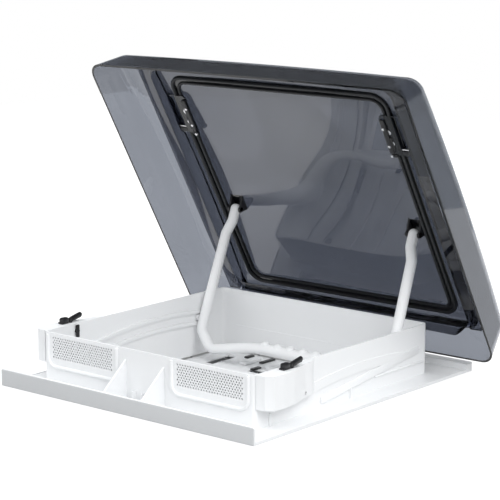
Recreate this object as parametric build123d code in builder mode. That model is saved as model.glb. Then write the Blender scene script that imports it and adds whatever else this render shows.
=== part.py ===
from build123d import *
import os
from math import acos, asin, cos, degrees, radians, sin, sqrt

# Roof vent for a caravan, with its dome standing open.
# X runs along the hinge, Y from the front edge to the hinge, Z up.
# The origin is the centre of the roof's cut-out, on the roof's outer skin.

os.makedirs("parts", exist_ok=True)
sides = {"left": -1, "right": 1}

# Fits and general values
overrun = 5
running_gap = 0.05
part_gap = 0.3
screw_radius = 1.9
screw_head_radius = 3.6
screw_head_height = 2.2

# Roof and its cut-out
cutout_size = 400
cutout_play = 2
roof_thickness = 25

# Flange and fascia
flange_width = 425
flange_front = 221
flange_back = 237
flange_thickness = 3
flange_corner = 6
bead_width = 1.6
bead_height = 1
rear_step_depth = 16
rear_step_height = 11
fascia_height = 22
fascia_thickness = 3
fascia_corner = 2.5
spigot_depth = 20
spigot_wall = 3

# Upstand
upstand_size = 356
upstand_height = 70
upstand_wall = 2.5
upstand_depth = 18
front_corner = 6
back_corner = 8
ledge_height = 19
ledge_depth = 1
ledge_width = 300

# Grilles in the front wall
grille_inner = 50
grille_outer = 165
grille_bottom = 29
grille_lip = 4
grille_lip_thickness = 1.2
grille_corner = 12
hole_pitch = 4.3
hole_row_pitch = 3.2
hole_radius = 1.45
hole_columns = 25
hole_margin = 12

# Ribs and gussets
gusset_place = 32
gusset_thickness = 2.5
gusset_drop = 14
twin_rib_pitch = 15
twin_rib_depth = 7
rib_height = 18
rib_thickness = 2
rib_depth = 3
side_rib_front = -152
side_rib_back = 7.5
relief_depth = 1.5

# Latch housings at the front corners
housing_start = -176
housing_length = 108
housing_reach = 22.5
housing_bottom = 28
housing_wall = 2.5
housing_shares = ((0, 0), (0.58, 0.01), (0.98, 0.08), (1, 0.25), (0.89, 0.45),
                  (0.49, 0.74), (0.36, 0.89), (0.1, 1), (0, 1))
housing_screw_y = -94
housing_screw_z = 33

# Latches
latch_y = -121
latch_drop = 10
latch_offset = 187
latch_shaft_radius = 3
latch_hub_radius = 5.5
latch_arm_width = 6.5
latch_tab_height = 17
latch_tab_width = 6
latch_tab_thickness = 3
latch_tip_y = 19.5
latch_shaft_reach = 14
latch_tip_z = 17.5
latch_block_width = 8
latch_block_length = 11
latch_block_height = 8
latch_foot_length = 13
latch_foot_height = 2
latch_slot_length = 18

# Hinge
hinge_y = 209.1
hinge_z = 11.8
hinge_place = 130
hinge_pin_radius = 2.5
hinge_eye_radius = 6
hinge_arm_width = 8
hinge_ear_width = 4
hinge_foot_length = 22
hinge_foot_thickness = 2.2
open_angle = 60

# Dome
dome_overhang = 84.6
dome_reach = 83
hinge_inset = -4.1
rim_over_hinge = 7.7
dome_wall = 3
dome_room = 20.5
dome_back_drop = 7
dome_back_lean = 15
dome_front_drop = 11
dome_front_lean = 19
dome_middle_share = 0.43
dome_crown = 4
dome_crown_width = 500
side_lean = 0.17
front_fillet = 25
back_fillet = 25
side_fillet = 24

# Inner pane, spacer and seal
pane_depth = 4
pane_thickness = 3
pane_back = 14
pane_corner = 25
spacer_width = 4
skirt_play = 1
skirt_drop = 8.5
skirt_front = 406.5
skirt_corner = 20
pane_flange_inset = 42.6
pane_flange_front = 421
seal_play = 0.5
seal_overlap = 6.5
seal_band = 15.5
seal_back = 23
seal_front = 389.5
seal_corner = 22

# Catches on the pane
catch_inner = 163
catch_outer = 196.8
catch_back = 294
catch_front = 356
catch_play = 0.2
catch_flange_thickness = 1.5
pocket_inner = 181.2
pocket_wall = 1.2
pocket_roof_depth = 3.4
catch_pin_radius = 1.5
catch_pin_v = 303
catch_pin_rise = 2.5
catch_block_length = 6
catch_screw_v = 313
catch_screw_place = 171.5
catch_corner = 6

# Bow and its brackets
pivot_v = 163
pivot_depth = 19.2
bow_place = 153.5
bow_neck_radius = 7.2
bow_radius = 8.1
bow_neck_length = 17
bow_joggle_end = 36
bow_upper_place = 160
bow_lower_place = 163
bow_bend_s = 177.6
bow_corner_s = 201.6
bow_corner_place = 138
bow_mid_s = 189.6
bow_mid_place = 74
bow_grip_s = 186.6
bow_grip_place = 45
finger_pitch = 22
finger_count = 5
finger_radius = 7.2
finger_rise = 3.5
bow_pin_radius = 2.5
ear_gap = 16.2
ear_thickness = 3
ear_radius = 5
ear_base_length = 24

# Guide of the bow
guide_closed_z = 25
guide_open_y = 119
guide_open_z = 36
groove_height = 12
guide_rim = 4.5
guide_thickness = 3.5
roller_radius = 4.5
roller_width = 2.8
roller_pin_radius = 2

# Inner frame and blinds below the roof
trim_overlap = 18
trim_thickness = 3
trim_corner = 18
tray_inset = 24
tray_wall = 2.5
tray_height = 30
tray_top = -20
cover_thickness = 2
cover_side_play = 10
cover_end_play = 8
rear_cover_depth = 78
front_cover_depth = 74
light_opening_margin = 24
bar_play = 12
bar_height = 8
bar_depth = 9
bar_z = -33
bar_offset = 6
roller_z = -35
rear_roller_margin = 42
front_roller_margin = 38
blind_roller_radius = 6
blind_roll_radius = 10
screen_roll_radius = 8.5
blind_roller_margin = 28
end_cap_thickness = 4
channel_width = 14
frame_screw_inset = 10
frame_screw_pitch = 120
boss_radius = 5
pilot_radius = 1.6
slot_margin = 20
slot_width = 16
slot_length = 52
slot_front_gap = 9
small_slot_outer = 66
small_slot_width = 23
small_slot_length = 15

# Worked out from the sizes above
upstand_half = upstand_size / 2
flange_length = flange_front + flange_back
flange_middle = (flange_back - flange_front) / 2
spigot_size = cutout_size - 2 * cutout_play
hole_rows = int((upstand_height - grille_bottom - hole_margin) / hole_row_pitch)
gusset_height = upstand_height - gusset_drop
latch_z = upstand_height - latch_drop
dome_half = upstand_half + dome_overhang
dome_width = 2 * dome_half
dome_length = upstand_size + dome_reach
seal_bottom = upstand_height + seal_play - hinge_z - rim_over_hinge
dome_middle_height = seal_bottom - seal_play + dome_room
dome_back_height = dome_middle_height - dome_back_drop
dome_front_height = dome_middle_height - dome_front_drop
seal_outer = upstand_half + seal_overlap
seal_inner = seal_outer - seal_band
skirt_half = upstand_half + housing_reach + skirt_play
skirt_bottom = seal_bottom - skirt_drop
pane_flange_half = dome_half - pane_flange_inset
catch_flange_bottom = seal_bottom + catch_play
catch_pin_w = seal_bottom + catch_pin_rise
pivot_w = dome_middle_height - pivot_depth
trim_size = cutout_size + 2 * trim_overlap
tray_size = spigot_size - 2 * tray_inset
tray_half = tray_size / 2
cover_half_width = tray_half - cover_side_play
cover_back = tray_half - cover_end_play
rear_cover_front = cover_back - rear_cover_depth
front_cover_front = -cover_back
front_cover_back = front_cover_front + front_cover_depth
light_opening_half = tray_half - light_opening_margin
bar_width = tray_size - 2 * bar_play
rear_bar_y = rear_cover_front - bar_offset
front_bar_y = front_cover_back + bar_offset
rear_roller_y = tray_half - rear_roller_margin
front_roller_y = front_roller_margin - tray_half
blind_roller_length = tray_size - 2 * blind_roller_margin
frame_screw_place = spigot_size / 2 - frame_screw_inset
slot_outer = cover_half_width - slot_margin
open_turn = radians(open_angle)
along = Vector(0, -cos(open_turn), sin(open_turn))
above = Vector(0, sin(open_turn), cos(open_turn))
across = Vector(1, 0, 0)
hinge_centre = Vector(0, hinge_y, hinge_z)
dome_origin = hinge_centre - along * hinge_inset + above * rim_over_hinge
crown_radius = dome_crown_width ** 2 / (8 * dome_crown)
crown_centre = dome_origin - above * crown_radius


def finish(piece, name):
    """Labels a finished piece and writes its file."""
    piece.part.label = name
    export_step(piece.part, f"parts/{name}.step")


def side_plane(x=0):
    """Plane across the vent at x, drawn in y and z."""
    return Plane.YZ.offset(x)


def dome_side(x=0):
    """Plane across the dome at x, drawn in the distance from the rim's back and the height over it."""
    return Plane(origin=dome_origin + across * x, x_dir=along, z_dir=along.cross(above))


def dome_plan(height):
    """Plane along the rim at a height over it, drawn in x and the distance from the back, facing the room."""
    return Plane(origin=dome_origin + above * height, x_dir=across, z_dir=across.cross(along))


def dome_cross(distance):
    """Plane square to the dome's length, drawn in x and the height over the rim."""
    return Plane(origin=dome_origin + along * distance, x_dir=across, z_dir=along)


def crown_plane(angle):
    """Plane through the crown's axis, tilted sideways by an angle, drawn as the dome's side plane is."""
    up = above * cos(angle) + across * sin(angle)
    return Plane(origin=crown_centre + up * crown_radius, x_dir=along, z_dir=along.cross(up))


def dome_point(v, w):
    """Centre plane point of the open dome."""
    return dome_origin + along * v + above * w


crown_half_angle = asin((dome_half + overrun) / crown_radius)
crown_axis = Axis((crown_centre.X, crown_centre.Y, crown_centre.Z), (along.X, along.Y, along.Z))
crown_sweep = degrees(2 * crown_half_angle)
below_rim = 2 * dome_crown
top_back = (dome_back_lean, dome_back_height)
top_front = (dome_length - dome_front_lean, dome_front_height)
top_middle = (dome_middle_share * dome_length, dome_middle_height)


def circle_through(a, b, c):
    """Centre and radius of the circle through three points."""
    turn = 2 * (a[0] * (b[1] - c[1]) + b[0] * (c[1] - a[1]) + c[0] * (a[1] - b[1]))
    squares = [p[0] ** 2 + p[1] ** 2 for p in (a, b, c)]
    x = (squares[0] * (b[1] - c[1]) + squares[1] * (c[1] - a[1]) + squares[2] * (a[1] - b[1])) / turn
    y = (squares[0] * (c[0] - b[0]) + squares[1] * (a[0] - c[0]) + squares[2] * (b[0] - a[0])) / turn
    return x, y, sqrt((a[0] - x) ** 2 + (a[1] - y) ** 2)


top_v, top_w, top_radius = circle_through(top_back, top_middle, top_front)


def under_top(v, depth):
    """Height over the rim, in the centre plane, of the point that lies a depth under the outer skin."""
    return top_w + sqrt((top_radius - depth) ** 2 - (v - top_v) ** 2)


def crown_drop(x):
    """How much lower the crowned skin lies at x than in the middle."""
    return crown_radius - sqrt(crown_radius ** 2 - x ** 2)


def skin_corner(foot, lean, height, inset):
    """Where the inset line of an end wall meets the inset arc of the top, in the centre plane."""
    size = sqrt(lean ** 2 + height ** 2)
    run, rise = lean / size, height / size
    start = foot + inset / rise if run > 0 else foot - inset / rise
    to_centre = (start - top_v) * run - top_w * rise
    reach = (start - top_v) ** 2 + top_w ** 2 - (top_radius - inset) ** 2
    climb = -to_centre + sqrt(to_centre ** 2 - reach)
    return start + run * climb, rise * climb


def dome_blank(inset):
    """Solid dome whose faces all lie a distance inside the outer skin, cut off at the rim."""
    back = skin_corner(0, dome_back_lean, dome_back_height, inset)
    front = skin_corner(dome_length, -dome_front_lean, dome_front_height, inset)
    middle = (top_v, under_top(top_v, inset))
    back_foot = (back[0] - dome_back_lean / dome_back_height * (back[1] + below_rim), -below_rim)
    front_foot = (front[0] + dome_front_lean / dome_front_height * (front[1] + below_rim), -below_rim)
    rim_half = dome_half - inset * sqrt(1 + side_lean ** 2)
    tall = dome_middle_height + overrun
    with BuildPart() as blank:
        with BuildSketch(crown_plane(crown_half_angle)):
            with BuildLine():
                ThreePointArc(back, middle, front)
                Polyline(front, front_foot, back_foot, back)
            make_face()
            fillet(vertices().sort_by_distance(back)[0], back_fillet - inset)
            fillet(vertices().sort_by_distance(front)[0], front_fillet - inset)
        revolve(axis=crown_axis, revolution_arc=crown_sweep)
        with BuildSketch(dome_cross(-overrun)):
            with BuildLine():
                Polyline((-rim_half, 0), (rim_half, 0), (rim_half - side_lean * tall, tall),
                         (side_lean * tall - rim_half, tall), close=True)
            make_face()
        extrude(amount=dome_length + 2 * overrun, mode=Mode.INTERSECT)
        walls = [face for face in blank.faces() if abs(face.normal_at().X) > 0.9]
        rim = blank.faces().sort_by(Axis((0, 0, 0), (above.X, above.Y, above.Z)))[0]
        chains = [edge for face in walls for edge in face.edges() if not is_on(edge, rim)]
        fillet(chains, side_fillet - inset)
    return blank.part


def is_on(edge, face):
    """Whether an edge bounds a face."""
    return any(edge.is_same(other) for other in face.edges())


def crowned_band(depth, thickness, back, front):
    """Curved slab under the outer skin, from one depth to the next, between two places along the dome."""
    middle = (back + front) / 2
    floor = depth + thickness
    upper = [(v, under_top(v, depth)) for v in (back, middle, front)]
    lower = [(v, under_top(v, floor)) for v in (front, middle, back)]
    with BuildPart() as band:
        with BuildSketch(crown_plane(crown_half_angle)):
            with BuildLine():
                ThreePointArc(*upper)
                Line(upper[2], lower[0])
                ThreePointArc(*lower)
                Line(lower[2], upper[0])
            make_face()
        revolve(axis=crown_axis, revolution_arc=crown_sweep)
    return band.part


def pivot_at(share):
    """Place of the bow's pivot, in y and z, when the dome has closed by a share of its turn."""
    turn = open_turn * (1 - share)
    reach = hinge_inset - pivot_v
    rise = rim_over_hinge + pivot_w
    return (hinge_y + reach * cos(turn) + rise * sin(turn),
            hinge_z - reach * sin(turn) + rise * cos(turn))


def roller_at(share):
    """Place of the bow's guide roller, in y and z, when the dome has closed by a share of its turn."""
    y, z = pivot_at(share)
    heading = bow_heading_open + share * (bow_heading_closed - bow_heading_open)
    return y + bow_length * cos(heading), z + bow_length * sin(heading)


open_pivot_y, open_pivot_z = pivot_at(0)
closed_pivot_z = pivot_at(1)[1]
bow_length = sqrt((open_pivot_y - guide_open_y) ** 2 + (open_pivot_z - guide_open_z) ** 2)
bow_heading_open = radians(180) + asin((open_pivot_z - guide_open_z) / bow_length)
bow_heading_closed = radians(180) + asin((closed_pivot_z - guide_closed_z) / bow_length)
guide_closed_y = roller_at(1)[0]
guide_centre_y, guide_centre_z, guide_radius = circle_through(
    roller_at(1), roller_at(1 / 2), (guide_open_y, guide_open_z))
guide_start = acos((guide_closed_y - guide_centre_y) / guide_radius)
guide_end = acos((guide_open_y - guide_centre_y) / guide_radius)


def base_plan(inset):
    """Plan of the upstand, with its own radii in front and behind."""
    size = upstand_size - 2 * inset
    Rectangle(size, size)
    fillet(vertices().group_by(Axis.Y)[-1], back_corner - inset)
    fillet(vertices().group_by(Axis.Y)[0], front_corner - inset)


def base_frame_piece():
    """Flange, fascia, upstand, spigot, gussets and ribs, one moulding."""
    front_wall = -upstand_half
    fascia_back = fascia_thickness - flange_front
    reliefs = {side: guide_band(side * upstand_half, groove_height / 2) for side in sides.values()}
    with BuildPart() as base:
        with BuildSketch(Plane.XY):
            with Locations((0, flange_middle)):
                RectangleRounded(flange_width, flange_length, flange_corner)
        extrude(amount=flange_thickness)
        with BuildSketch(Plane.XY.offset(flange_thickness)):
            with Locations((0, flange_middle)):
                RectangleRounded(flange_width, flange_length, flange_corner)
                RectangleRounded(flange_width - 2 * bead_width, flange_length - 2 * bead_width,
                                 flange_corner - bead_width, mode=Mode.SUBTRACT)
        extrude(amount=bead_height)
        with BuildSketch(Plane.XY):
            with Locations((0, flange_back)):
                Rectangle(flange_width, rear_step_depth, align=(Align.CENTER, Align.MAX))
            fillet(vertices().group_by(Axis.Y)[-1], flange_corner)
        extrude(amount=rear_step_height)
        with BuildSketch(Plane.XZ.offset(flange_front)):
            Rectangle(flange_width, fascia_height, align=(Align.CENTER, Align.MIN))
            fillet(vertices().group_by(Axis.Y)[-1], fascia_corner)
        extrude(amount=-fascia_thickness)
        with BuildSketch(Plane.XY):
            Rectangle(spigot_size, spigot_size)
            Rectangle(spigot_size - 2 * spigot_wall, spigot_size - 2 * spigot_wall, mode=Mode.SUBTRACT)
        extrude(amount=-spigot_depth)
        with BuildSketch(Plane.XY.offset(-upstand_depth)):
            base_plan(0)
        extrude(amount=upstand_height + upstand_depth)
        with BuildSketch(Plane.XY.offset(-upstand_depth - overrun)):
            base_plan(upstand_wall)
        extrude(amount=upstand_height + upstand_depth + 2 * overrun, mode=Mode.SUBTRACT)
        with BuildSketch(Plane.XZ.offset(upstand_wall - upstand_half)):
            with Locations((0, -upstand_depth)):
                Rectangle(ledge_width, ledge_height + upstand_depth, align=(Align.CENTER, Align.MIN))
        extrude(amount=ledge_depth)
        for place in (-gusset_place, gusset_place):
            with BuildSketch(side_plane(place - gusset_thickness / 2)):
                with BuildLine():
                    Polyline((front_wall, 0), (front_wall, gusset_height),
                             (fascia_back, fascia_height), (fascia_back, 0), close=True)
                make_face()
            extrude(amount=gusset_thickness)
        for place in (-twin_rib_pitch, 0):
            with BuildSketch(side_plane(place - rib_thickness / 2)):
                with Locations((front_wall, 0)):
                    Rectangle(twin_rib_depth, rib_height, align=(Align.MAX, Align.MIN))
            extrude(amount=rib_thickness)
        for side in sides.values():
            for place in (side_rib_front, side_rib_back):
                with BuildSketch(Plane.XY):
                    with Locations((side * (upstand_half + rib_depth / 2), place)):
                        Rectangle(rib_depth, rib_thickness)
                extrude(amount=rib_height)
            extrude(reliefs[side], amount=side * relief_depth)
            with BuildSketch(Plane.XY.offset(housing_bottom)):
                housing_plan(side, 0)
            extrude(amount=upstand_height, mode=Mode.SUBTRACT)
            with BuildSketch(Plane.XZ.offset(upstand_half + overrun)):
                with BuildLine():
                    Polyline((side * grille_inner, grille_bottom), (side * grille_outer, grille_bottom),
                             (side * grille_outer, upstand_height + overrun),
                             (side * grille_inner, upstand_height + overrun), close=True)
                make_face()
                fillet(vertices().group_by(Axis.Y)[0], grille_corner)
            extrude(amount=-upstand_wall - 2 * overrun, mode=Mode.SUBTRACT)
            with BuildSketch(side_plane(side * (upstand_half - upstand_wall - overrun))):
                with Locations((latch_y, latch_z)):
                    Circle(latch_shaft_radius + running_gap)
            extrude(amount=side * (upstand_wall + 2 * overrun), mode=Mode.SUBTRACT)
        with BuildSketch(Plane.XY.offset(-spigot_depth)):
            with Locations(*frame_screw_places):
                Circle(boss_radius)
        extrude(amount=spigot_depth)
        with BuildSketch(Plane.XY.offset(-spigot_depth)):
            with Locations(*frame_screw_places):
                Circle(pilot_radius)
        extrude(amount=spigot_depth, mode=Mode.SUBTRACT)
    return base


def guide_point(angle, radius):
    """Point at an angle on a circle about the guide groove's centre."""
    return guide_centre_y + radius * cos(angle), guide_centre_z + radius * sin(angle)


def guide_band(x, half_height):
    """Band of even height with round ends along the bow's guide groove, at one place across the vent."""
    turn = half_height / guide_radius
    low, high = guide_radius - half_height, guide_radius + half_height
    middle = (guide_start + guide_end) / 2
    with BuildSketch(side_plane(x)) as band:
        with BuildLine():
            ThreePointArc(*[guide_point(angle, high) for angle in (guide_start, middle, guide_end)])
            ThreePointArc(guide_point(guide_end, high), guide_point(guide_end - turn, guide_radius),
                          guide_point(guide_end, low))
            ThreePointArc(*[guide_point(angle, low) for angle in (guide_end, middle, guide_start)])
            ThreePointArc(guide_point(guide_start, low), guide_point(guide_start + turn, guide_radius),
                          guide_point(guide_start, high))
        make_face()
    return band.sketch


def guide_rail_piece(side):
    """Rail on the inner face of a side wall, with the groove that the bow's roller runs in."""
    wall_face = side * (upstand_half - upstand_wall)
    outline = guide_band(wall_face, groove_height / 2 + guide_rim)
    groove = guide_band(wall_face, groove_height / 2)
    with BuildPart() as rail:
        extrude(outline, amount=-side * guide_thickness)
        extrude(groove, amount=-side * guide_thickness, mode=Mode.SUBTRACT)
    return rail


def grille_piece(side):
    """Perforated insert of the front wall, with a lip that lies on the wall."""
    middle = side * (grille_inner + grille_outer) / 2
    width = grille_outer - grille_inner
    height = upstand_height - grille_bottom
    wall_face = Plane.XZ.offset(upstand_half)
    with BuildPart() as grille:
        with BuildSketch(wall_face):
            with Locations((middle, grille_bottom - grille_lip)):
                Rectangle(width + 2 * grille_lip, height + grille_lip, align=(Align.CENTER, Align.MIN))
            fillet(vertices().group_by(Axis.Y)[0], grille_corner + grille_lip)
        extrude(amount=grille_lip_thickness)
        with BuildSketch(wall_face):
            with Locations((middle, grille_bottom)):
                Rectangle(width, height, align=(Align.CENTER, Align.MIN))
            fillet(vertices().group_by(Axis.Y)[0], grille_corner)
        extrude(amount=-upstand_wall)
        with BuildSketch(wall_face.offset(overrun)):
            with Locations(*grille_holes(middle)):
                RegularPolygon(hole_radius, 6)
        extrude(amount=-upstand_wall - 2 * overrun, mode=Mode.SUBTRACT)
    return grille


def grille_holes(middle):
    """Staggered rows of holes, the odd rows one hole shorter, without those in the rounded corners."""
    places = []
    centre = (grille_bottom + upstand_height) / 2 + hole_row_pitch / 2
    for row in range(hole_rows):
        count = hole_columns - row % 2
        height = centre + (row - (hole_rows - 1) / 2) * hole_row_pitch
        for column in range(count):
            places.append((middle + (column - (count - 1) / 2) * hole_pitch, height))
    return places


def housing_plan(side, inset):
    """Plan of a latch housing, bulging out of the side wall near its front corner."""
    points = [(side * (upstand_half + reach * housing_reach), housing_start + run * housing_length)
              for reach, run in housing_shares]
    Polygon(*points, align=None)
    if inset > 0:
        offset(amount=-inset, kind=Kind.INTERSECTION, mode=Mode.REPLACE)


def shaft_bearing(side):
    """Boss inside a latch housing's outer wall that carries the end of the latch's shaft."""
    start = latch_offset + latch_arm_width / 2 + part_gap
    with BuildPart() as boss:
        with BuildSketch(side_plane(side * start)):
            with Locations((latch_y, latch_z)):
                Circle(latch_hub_radius)
        extrude(amount=side * housing_reach)
        with BuildSketch(Plane.XY.offset(housing_bottom)):
            housing_plan(side, 0)
        extrude(amount=upstand_height - housing_bottom, mode=Mode.INTERSECT)
    return boss.part


def latch_housing_piece(side):
    """Hollow housing of a latch, with the slot of its arm in the top and the bearing of its shaft inside."""
    middle = side * latch_offset
    with BuildPart() as housing:
        with BuildSketch(Plane.XY.offset(housing_bottom)):
            housing_plan(side, 0)
        extrude(amount=upstand_height - housing_bottom)
        with BuildSketch(Plane.XY.offset(housing_bottom + housing_wall)):
            housing_plan(side, housing_wall)
        extrude(amount=upstand_height - housing_bottom - 2 * housing_wall, mode=Mode.SUBTRACT)
        add(shaft_bearing(side))
        with BuildSketch(side_plane(side * (upstand_half - overrun))):
            with Locations((latch_y, latch_z)):
                Circle(latch_shaft_radius + running_gap)
        extrude(amount=side * (overrun + latch_shaft_end - upstand_half + part_gap), mode=Mode.SUBTRACT)
        with BuildSketch(Plane.XY.offset(upstand_height + overrun)):
            with Locations((middle, latch_slot_front)):
                Rectangle(latch_arm_width + 2 * part_gap, latch_slot_length,
                          align=(Align.CENTER, Align.MIN))
        extrude(amount=-2 * overrun - housing_wall, mode=Mode.SUBTRACT)
        with BuildSketch(side_plane(side * (upstand_half + housing_reach))):
            with Locations((housing_screw_y, housing_screw_z)):
                Circle(screw_radius + part_gap)
        extrude(amount=-side * housing_reach, mode=Mode.SUBTRACT)
    return housing


def latch_base_piece(side):
    """Block in front of a latch's arm, on a foot that lies on the housing."""
    middle = side * latch_offset
    block_back = latch_slot_front - part_gap
    with BuildPart() as block:
        with BuildSketch(Plane.XY.offset(upstand_height)):
            with Locations((middle, block_back)):
                Rectangle(latch_block_width, latch_foot_length, align=(Align.CENTER, Align.MAX))
        extrude(amount=latch_foot_height)
        with BuildSketch(Plane.XY.offset(upstand_height + latch_foot_height)):
            with Locations((middle, block_back)):
                Rectangle(latch_arm_width, latch_block_length, align=(Align.CENTER, Align.MAX))
        extrude(amount=latch_block_height - latch_foot_height)
        fillet(block.edges().filter_by(Axis.X).group_by(Axis.Z)[-1], latch_block_height / 4)
    return block


def latch_lever_piece(side):
    """Rocker of a latch: hook outside, tab inside, and the shaft that joins them through the wall."""
    neck = latch_neck
    half_way = latch_z + latch_tip_z / 2
    top = latch_z + latch_tip_z
    with BuildPart() as lever:
        with BuildSketch(side_plane(side * (latch_offset - latch_arm_width / 2))):
            with BuildLine():
                Polyline((latch_y - neck, latch_z), (latch_y - neck, half_way), (latch_y + neck, top),
                         (latch_y + latch_tip_y, top), (latch_y + latch_tip_y, top - latch_tab_thickness),
                         (latch_y + 2 * neck, top - 2 * latch_tab_thickness), (latch_y + neck, half_way),
                         (latch_y + neck, latch_z), close=True)
            make_face()
            with Locations((latch_y, latch_z)):
                Circle(latch_hub_radius)
        extrude(amount=side * latch_arm_width)
        with BuildSketch(side_plane(side * latch_shaft_start)):
            with Locations((latch_y, latch_z)):
                Circle(latch_shaft_radius)
        extrude(amount=side * (latch_shaft_end - latch_shaft_start))
        with BuildSketch(side_plane(side * latch_shaft_start)):
            with Locations((latch_y, latch_z)):
                SlotOverall(latch_tab_height, latch_tab_width, rotation=90)
        extrude(amount=side * latch_tab_thickness)
    return lever


def hinge_bracket_piece(side):
    """Foot behind the back wall with two ears that hold the hinge pin."""
    ear_offset = hinge_arm_width / 2 + part_gap
    with BuildPart() as bracket:
        with BuildSketch(Plane.XY.offset(flange_thickness)):
            with Locations((side * hinge_place, hinge_y)):
                Rectangle(2 * ear_offset + 2 * hinge_ear_width, hinge_foot_length)
        extrude(amount=hinge_foot_thickness)
        for start in (-ear_offset - hinge_ear_width, ear_offset):
            with BuildSketch(side_plane(side * hinge_place + start)):
                with BuildLine():
                    Polyline((hinge_y - hinge_foot_length / 2, flange_thickness),
                             (hinge_y + hinge_foot_length / 2, flange_thickness),
                             (hinge_y + hinge_eye_radius, hinge_z),
                             (hinge_y - hinge_eye_radius, hinge_z), close=True)
                make_face()
                with Locations((hinge_y, hinge_z)):
                    Circle(hinge_eye_radius)
                    Circle(hinge_pin_radius, mode=Mode.SUBTRACT)
            extrude(amount=hinge_ear_width)
    return bracket


def hinge_pin_piece(side):
    """Pin of one hinge, held in the bracket's ears."""
    length = hinge_arm_width + 2 * part_gap + 2 * hinge_ear_width
    with BuildPart() as pin:
        with BuildSketch(side_plane(side * hinge_place - length / 2)):
            with Locations((hinge_y, hinge_z)):
                Circle(hinge_pin_radius)
        extrude(amount=length)
    return pin


def hinge_arm_piece(side):
    """Arm from the hinge pin up into the dome, with a foot against the dome's back wall."""
    eye = (hinge_inset, -rim_over_hinge)
    rise = dome_back_height / 3
    with BuildPart() as arm:
        with BuildSketch(dome_side(side * hinge_place - hinge_arm_width / 2)):
            with BuildLine():
                Polyline((inner_back(0) + part_gap, 0), (inner_back(rise) + part_gap, rise),
                         (inner_back(rise) + 2 * hinge_pin_radius, rise),
                         (inner_back(0) + 2 * hinge_eye_radius, 0),
                         (hinge_inset + hinge_eye_radius, -rim_over_hinge),
                         (hinge_inset - hinge_eye_radius, -rim_over_hinge), close=True)
            make_face()
            with Locations(eye):
                Circle(hinge_eye_radius)
                Circle(hinge_pin_radius + running_gap, mode=Mode.SUBTRACT)
        extrude(amount=-hinge_arm_width)
    return arm


def inner_back(height):
    """Distance of the back wall's inner face from the rim's back edge at the hinge arms, at a height."""
    lean = dome_back_lean / dome_back_height
    return lean * (height + crown_drop(hinge_place)) + dome_wall * sqrt(1 + lean ** 2)


def skirt_plan(inset, front, half):
    """Plan of the pane's skirt or flange: two sides and a front with round corners, open behind."""
    with BuildSketch(dome_plan(dome_middle_height)) as plan:
        with Locations((0, front - inset - dome_length / 2)):
            RectangleRounded(2 * (half - inset), dome_length, skirt_corner - inset)
    return plan.sketch


def inner_pane_piece():
    """Inner pane, curved like the dome's top, with a skirt and an outer flange below it."""
    opening = skirt_plan(pane_thickness, skirt_front, skirt_half + pane_thickness)
    with BuildPart() as pane:
        add(pane_blank)
        add(seal_blank, mode=Mode.SUBTRACT)
        with BuildSketch(dome_plan(dome_middle_height)):
            with Locations((0, (pane_back + skirt_front) / 2)):
                RectangleRounded(2 * skirt_half + 2 * pane_thickness, skirt_front - pane_back, skirt_corner)
        extrude(amount=dome_middle_height, mode=Mode.INTERSECT)
    with BuildPart() as skirt:
        extrude(skirt_plan(0, skirt_front, skirt_half + pane_thickness),
                amount=dome_middle_height - skirt_bottom)
        with BuildSketch(dome_plan(skirt_bottom + pane_thickness)):
            with Locations((0, pane_flange_front - dome_length / 2)):
                RectangleRounded(2 * pane_flange_half, dome_length, pane_corner)
        extrude(amount=pane_thickness)
        extrude(opening, amount=dome_middle_height, mode=Mode.SUBTRACT)
        add(pane_blank, mode=Mode.INTERSECT)
    with BuildPart() as whole:
        add(pane.part)
        add(skirt.part)
        for side in sides.values():
            with BuildSketch(dome_plan(dome_middle_height)):
                with Locations((side * pocket_middle, (catch_back + catch_front) / 2)):
                    Rectangle(catch_outer - pocket_inner + 2 * part_gap,
                              catch_front - catch_back + 2 * part_gap)
            extrude(amount=dome_middle_height, mode=Mode.SUBTRACT)
    return whole


def pane_spacer_piece():
    """Bond line between the dome and the inner pane, round the pane's edge."""
    half = skirt_half + pane_thickness
    with BuildPart() as spacer:
        add(inner_blank)
        add(pane_blank, mode=Mode.SUBTRACT)
        with BuildSketch(dome_plan(dome_middle_height)):
            with Locations((0, (pane_back + skirt_front) / 2)):
                RectangleRounded(2 * half, skirt_front - pane_back, skirt_corner)
                RectangleRounded(2 * half - 2 * spacer_width, skirt_front - pane_back - 2 * spacer_width,
                                 skirt_corner - spacer_width, mode=Mode.SUBTRACT)
        extrude(amount=dome_middle_height - skirt_bottom, mode=Mode.INTERSECT)
    return spacer


def pane_seal_piece():
    """Rubber seal under the pane that closes on the upstand's top, let in where the catches cross it."""
    inner_length = seal_front - seal_back - 2 * seal_band
    with BuildPart() as seal:
        add(seal_blank)
        with BuildSketch(dome_plan(dome_middle_height)):
            with Locations((0, (seal_back + seal_front) / 2)):
                RectangleRounded(2 * seal_outer, seal_front - seal_back, seal_corner)
                RectangleRounded(2 * seal_inner, inner_length, seal_corner - seal_band / 2,
                                 mode=Mode.SUBTRACT)
        extrude(amount=dome_middle_height - seal_bottom, mode=Mode.INTERSECT)
        for side in sides.values():
            for start, height in ((catch_inner, catch_flange_bottom + catch_flange_thickness + part_gap),
                                  (pocket_inner, dome_middle_height)):
                with BuildSketch(dome_plan(height)):
                    with Locations((side * (start - part_gap), (catch_back + catch_front) / 2)):
                        Rectangle(catch_outer - catch_inner, catch_front - catch_back + 2 * part_gap,
                                  align=(Align.MIN if side > 0 else Align.MAX, Align.CENTER))
                extrude(amount=dome_middle_height, mode=Mode.SUBTRACT)
    return seal


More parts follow.
